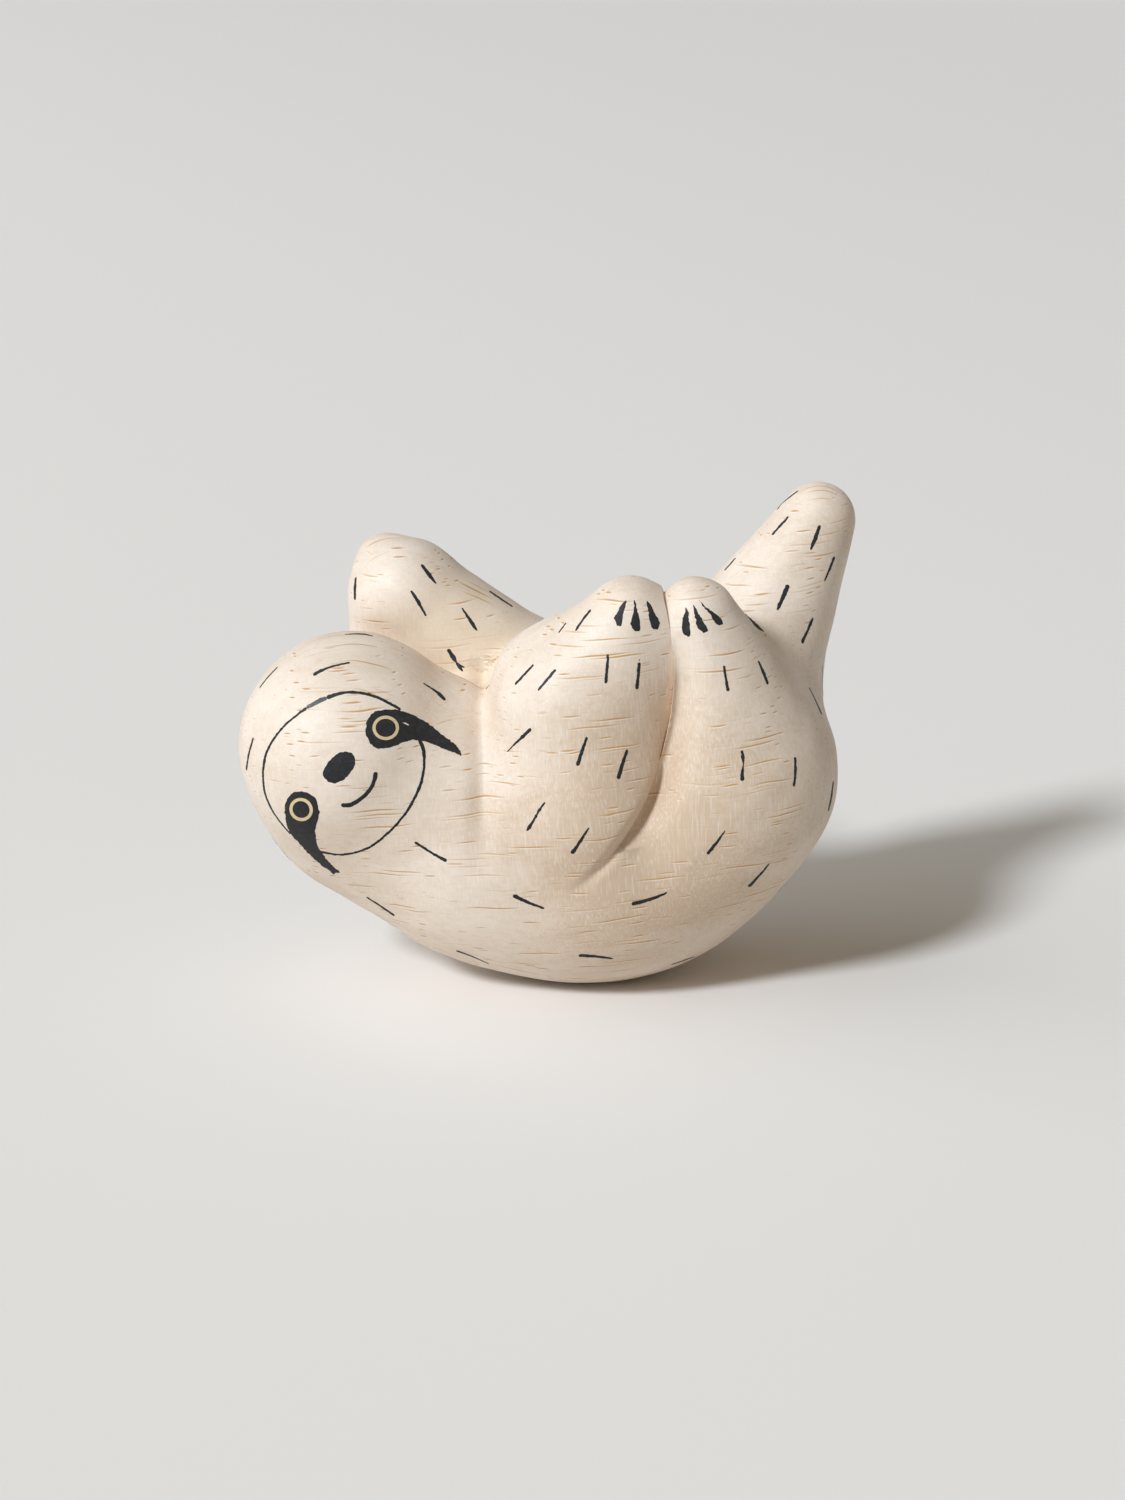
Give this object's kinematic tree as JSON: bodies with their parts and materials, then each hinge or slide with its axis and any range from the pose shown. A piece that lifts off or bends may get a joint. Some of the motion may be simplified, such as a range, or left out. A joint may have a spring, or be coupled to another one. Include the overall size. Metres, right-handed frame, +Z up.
{
  "type": "animal figurine",
  "caption": "Hand-carved wooden sloth figurine lying on its back with its limbs raised, with a painted face, claws and short fur strokes.",
  "frame": {"origin": "on the flat resting face under the body, below the middle of the figure's length", "axes": "+X from the head towards the rump, -Y towards the viewer who sees the face, +Z up"},
  "size_m": [0.0847, 0.0423, 0.0674],
  "materials": {
    "whitewashed_wood": "pale whitewashed light wood, sanded, satin, with fine brown pores",
    "hardwood": "plain turned dowel",
    "black_paint": "thin matt black acrylic paint",
    "tan_paint": "thin matt tan acrylic paint"
  },
  "bodies": {
    "root": {"torso": "whitewashed_wood", "head": "whitewashed_wood", "near_arm": "whitewashed_wood", "near_leg": "whitewashed_wood", "far_arm": "whitewashed_wood", "far_leg": "whitewashed_wood", "dowel_head": "hardwood", "dowel_near_arm": "hardwood", "dowel_near_leg": "hardwood", "dowel_far_arm": "hardwood", "dowel_far_leg": "hardwood"}
  },
  "joints": []
}
